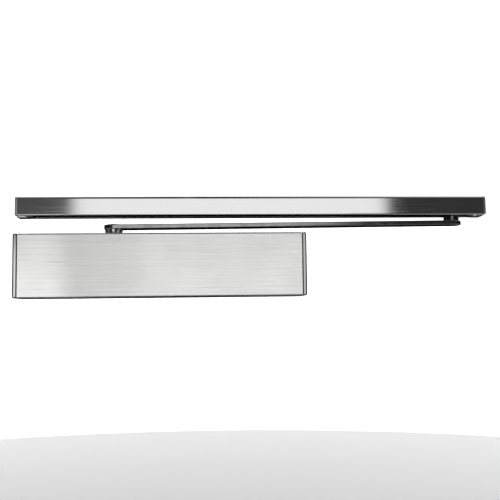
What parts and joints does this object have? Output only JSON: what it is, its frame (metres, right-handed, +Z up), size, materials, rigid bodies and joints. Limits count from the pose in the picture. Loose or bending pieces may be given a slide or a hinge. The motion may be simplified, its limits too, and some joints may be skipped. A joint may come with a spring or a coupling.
{
  "type": "door closer",
  "caption": "Slide-rail overhead door closer: boxed closer body with a satin cover, flat slide arm on a sprung geared spindle, and a guide rail with a sliding block.",
  "frame": {"origin": "centre of the closer's back face, where it meets the door", "axes": "+X along the closer towards its spring end, +Y into the door, +Z up"},
  "size_m": [0.486, 0.048, 0.1031],
  "materials": {
    "satin_stainless": "fine satin grain along the length",
    "polished_stainless": "fine brushed, glossier",
    "cast_housing": "as-cast skin with machined bores",
    "zinc_plate": "zinc plated",
    "hardened_steel": "ground and oiled",
    "dark_steel": "dark nickel plated",
    "arm_steel": "nickel plated, slightly mottled",
    "spring_steel": "oil-tempered wire",
    "seal_rubber": "matt black",
    "sliding_nylon": "natural nylon",
    "black_plastic": "moulded, matt",
    "rail_aluminium": "anodised extrusion",
    "end_cap_metal": "nickel plated, polished edge",
    "satin_nickel": "satin nickel plate",
    "cast_piston": "turned and milled"
  },
  "bodies": {
    "closer_body": {"mounting_plate": "zinc_plate", "closer_housing": "cast_housing", "housing_screws": "zinc_plate", "body_cover": "satin_stainless", "cover_end_cap_left": "end_cap_metal", "cover_end_cap_right": "end_cap_metal", "end_cap_screws": "end_cap_metal", "spindle_hole_plug": "black_plastic", "gallery_plug": "hardened_steel", "cylinder_end_plug": "zinc_plate", "spring_end_plug": "zinc_plate", "end_plug_o_rings": "seal_rubber", "main_spring": "spring_steel", "upper_needle_bearing": "hardened_steel", "lower_needle_bearing": "hardened_steel", "spindle_seals": "seal_rubber", "gland_nuts": "zinc_plate"},
    "piston_assembly": {"piston": "cast_piston", "piston_seals": "seal_rubber", "check_valve_ball": "hardened_steel", "check_valve_retainer": "hardened_steel"},
    "spring_seat_body": {"spring_seat": "hardened_steel"},
    "adjusting_screw_body": {"power_adjusting_screw": "hardened_steel"},
    "closing_valve_body": {"closing_speed_valve": "hardened_steel"},
    "latching_valve_body": {"latching_speed_valve": "hardened_steel"},
    "backcheck_valve_body": {"backcheck_valve": "hardened_steel"},
    "slide_arm": {"pinion_spindle": "hardened_steel", "arm_hub": "dark_steel", "main_arm": "arm_steel", "arm_fixing_screw": "dark_steel", "slider_pin": "dark_steel", "pin_circlip": "hardened_steel"},
    "slider": {"slide_block": "sliding_nylon"},
    "guide_track": {"track_rail": "rail_aluminium", "track_cover": "polished_stainless", "track_end_cap_left": "satin_nickel", "track_end_cap_right": "satin_nickel", "track_cap_screws": "satin_nickel", "track_buffers": "seal_rubber"}
  },
  "joints": [
    {"name": "spindle_turn", "type": "hinge", "parent": "closer_body", "child": "slide_arm", "pos_m": [-0.0487, -0.025, 0], "axis": [0, 0, 1], "range_deg": [0, 180], "stiffness_Nm_per_rad": 4, "springref_deg": -57.3},
    {"name": "piston_slide", "type": "slide", "parent": "closer_body", "child": "piston_assembly", "axis": [1, 0, 0], "range_m": [0, 0.0284], "deforming": ["main_spring"]},
    {"name": "power_adjust_turn", "type": "hinge", "parent": "closer_body", "child": "adjusting_screw_body", "pos_m": [0.107, -0.025, 0], "axis": [-1, 0, 0], "range_deg": [0, 2881]},
    {"name": "spring_seat_slide", "type": "slide", "parent": "closer_body", "child": "spring_seat_body", "axis": [-1, 0, 0], "range_m": [0, 0.01], "deforming": ["main_spring"]},
    {"name": "closing_speed_turn", "type": "hinge", "parent": "closer_body", "child": "closing_valve_body", "pos_m": [-0.104, -0.04, 0.0215], "axis": [0, 1, 0], "range_deg": [-540, 180]},
    {"name": "latching_speed_turn", "type": "hinge", "parent": "closer_body", "child": "latching_valve_body", "pos_m": [-0.088, -0.04, 0.0215], "axis": [0, 1, 0], "range_deg": [-540, 180]},
    {"name": "backcheck_turn", "type": "hinge", "parent": "closer_body", "child": "backcheck_valve_body", "pos_m": [0.02, -0.04, 0.0215], "axis": [0, 1, 0], "range_deg": [-540, 180]},
    {"name": "slider_swivel", "type": "hinge", "parent": "slide_arm", "child": "slider", "pos_m": [0.3054, -0.015, 0.06], "axis": [0, 0, 1], "range_deg": [-60, 15]},
    {"name": "track_slide", "type": "slide", "parent": "slider", "child": "guide_track", "axis": [1, 0, 0], "range_m": [-0.005, 0.42]}
  ],
  "couplings": [
    {"joint": "piston_slide", "follows": "spindle_turn", "m_per_rad": 0.009},
    {"joint": "power_adjust_turn", "follows": "spring_seat_slide", "rad_per_m": 5026.5}
  ]
}
